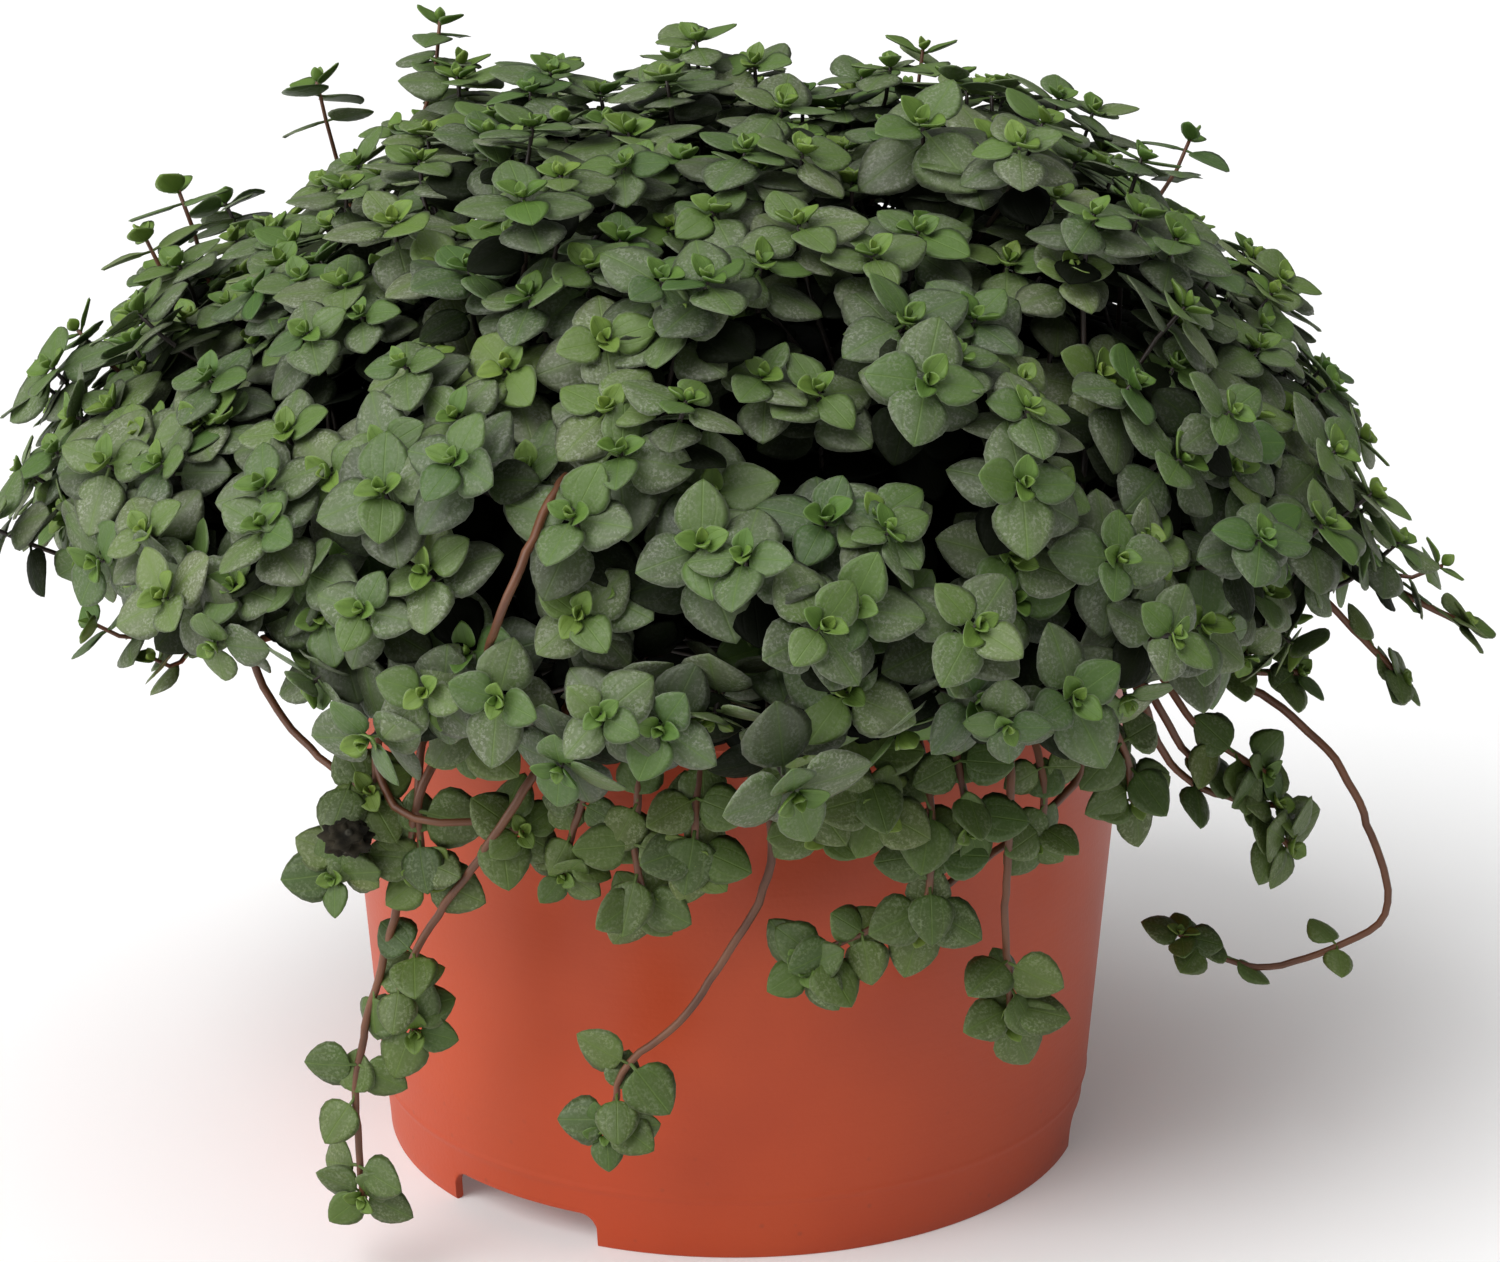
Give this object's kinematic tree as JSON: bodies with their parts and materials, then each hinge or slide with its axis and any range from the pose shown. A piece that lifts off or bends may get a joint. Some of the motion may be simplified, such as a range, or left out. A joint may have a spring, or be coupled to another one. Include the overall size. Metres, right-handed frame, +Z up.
{
  "type": "potted pilea",
  "caption": "Small-leaved grey-green trailing pilea in a round plastic nursery pot, a dense mound of rosettes with shoots hanging over the rim.",
  "frame": {"origin": "middle of the pot's foot, on the surface that the pot stands on", "axes": "+Z up along the pot's axis, -Y towards the side with the longest trailing shoots"},
  "size_m": [0.216, 0.1948, 0.1617],
  "materials": {
    "pot_plastic": "matte terracotta-coloured plastic",
    "potting_soil": "dark moist crumbly peat soil",
    "crown_foliage": "soft matte grey-green leaves with a faint silvery speckle",
    "trailing_foliage": "soft matte green leaves on reddish-brown stems"
  },
  "bodies": {
    "root": {"pot": "pot_plastic", "soil": "potting_soil", "shoot_crown_01": "crown_foliage", "shoot_crown_02": "crown_foliage", "shoot_crown_03": "crown_foliage", "shoot_crown_04": "crown_foliage", "shoot_crown_05": "crown_foliage", "shoot_crown_06": "crown_foliage", "shoot_crown_07": "crown_foliage", "shoot_crown_08": "crown_foliage", "shoot_crown_09": "crown_foliage", "shoot_crown_10": "crown_foliage", "shoot_crown_11": "crown_foliage", "shoot_crown_12": "crown_foliage", "shoot_crown_13": "crown_foliage", "shoot_crown_14": "crown_foliage", "shoot_crown_15": "crown_foliage", "shoot_crown_16": "crown_foliage", "shoot_crown_17": "crown_foliage", "shoot_crown_18": "crown_foliage", "shoot_crown_19": "crown_foliage", "shoot_crown_20": "crown_foliage", "shoot_crown_21": "crown_foliage", "shoot_crown_22": "crown_foliage", "shoot_crown_23": "crown_foliage", "shoot_crown_24": "crown_foliage", "shoot_crown_25": "crown_foliage", "shoot_crown_26": "crown_foliage", "shoot_crown_27": "crown_foliage", "shoot_crown_28": "crown_foliage", "trail_front_left_long": "trailing_foliage", "trail_front_left_inner": "trailing_foliage", "trail_left_arch": "trailing_foliage", "trail_front_centre": "trailing_foliage", "trail_front_right_slant": "trailing_foliage", "trail_front_right": "trailing_foliage", "trail_right_low": "trailing_foliage", "trail_right_hook": "trailing_foliage", "trail_right_side": "trailing_foliage", "trail_back_right": "trailing_foliage", "trail_back_long": "trailing_foliage", "trail_back_left": "trailing_foliage", "trail_left_side": "trailing_foliage"}
  },
  "joints": []
}
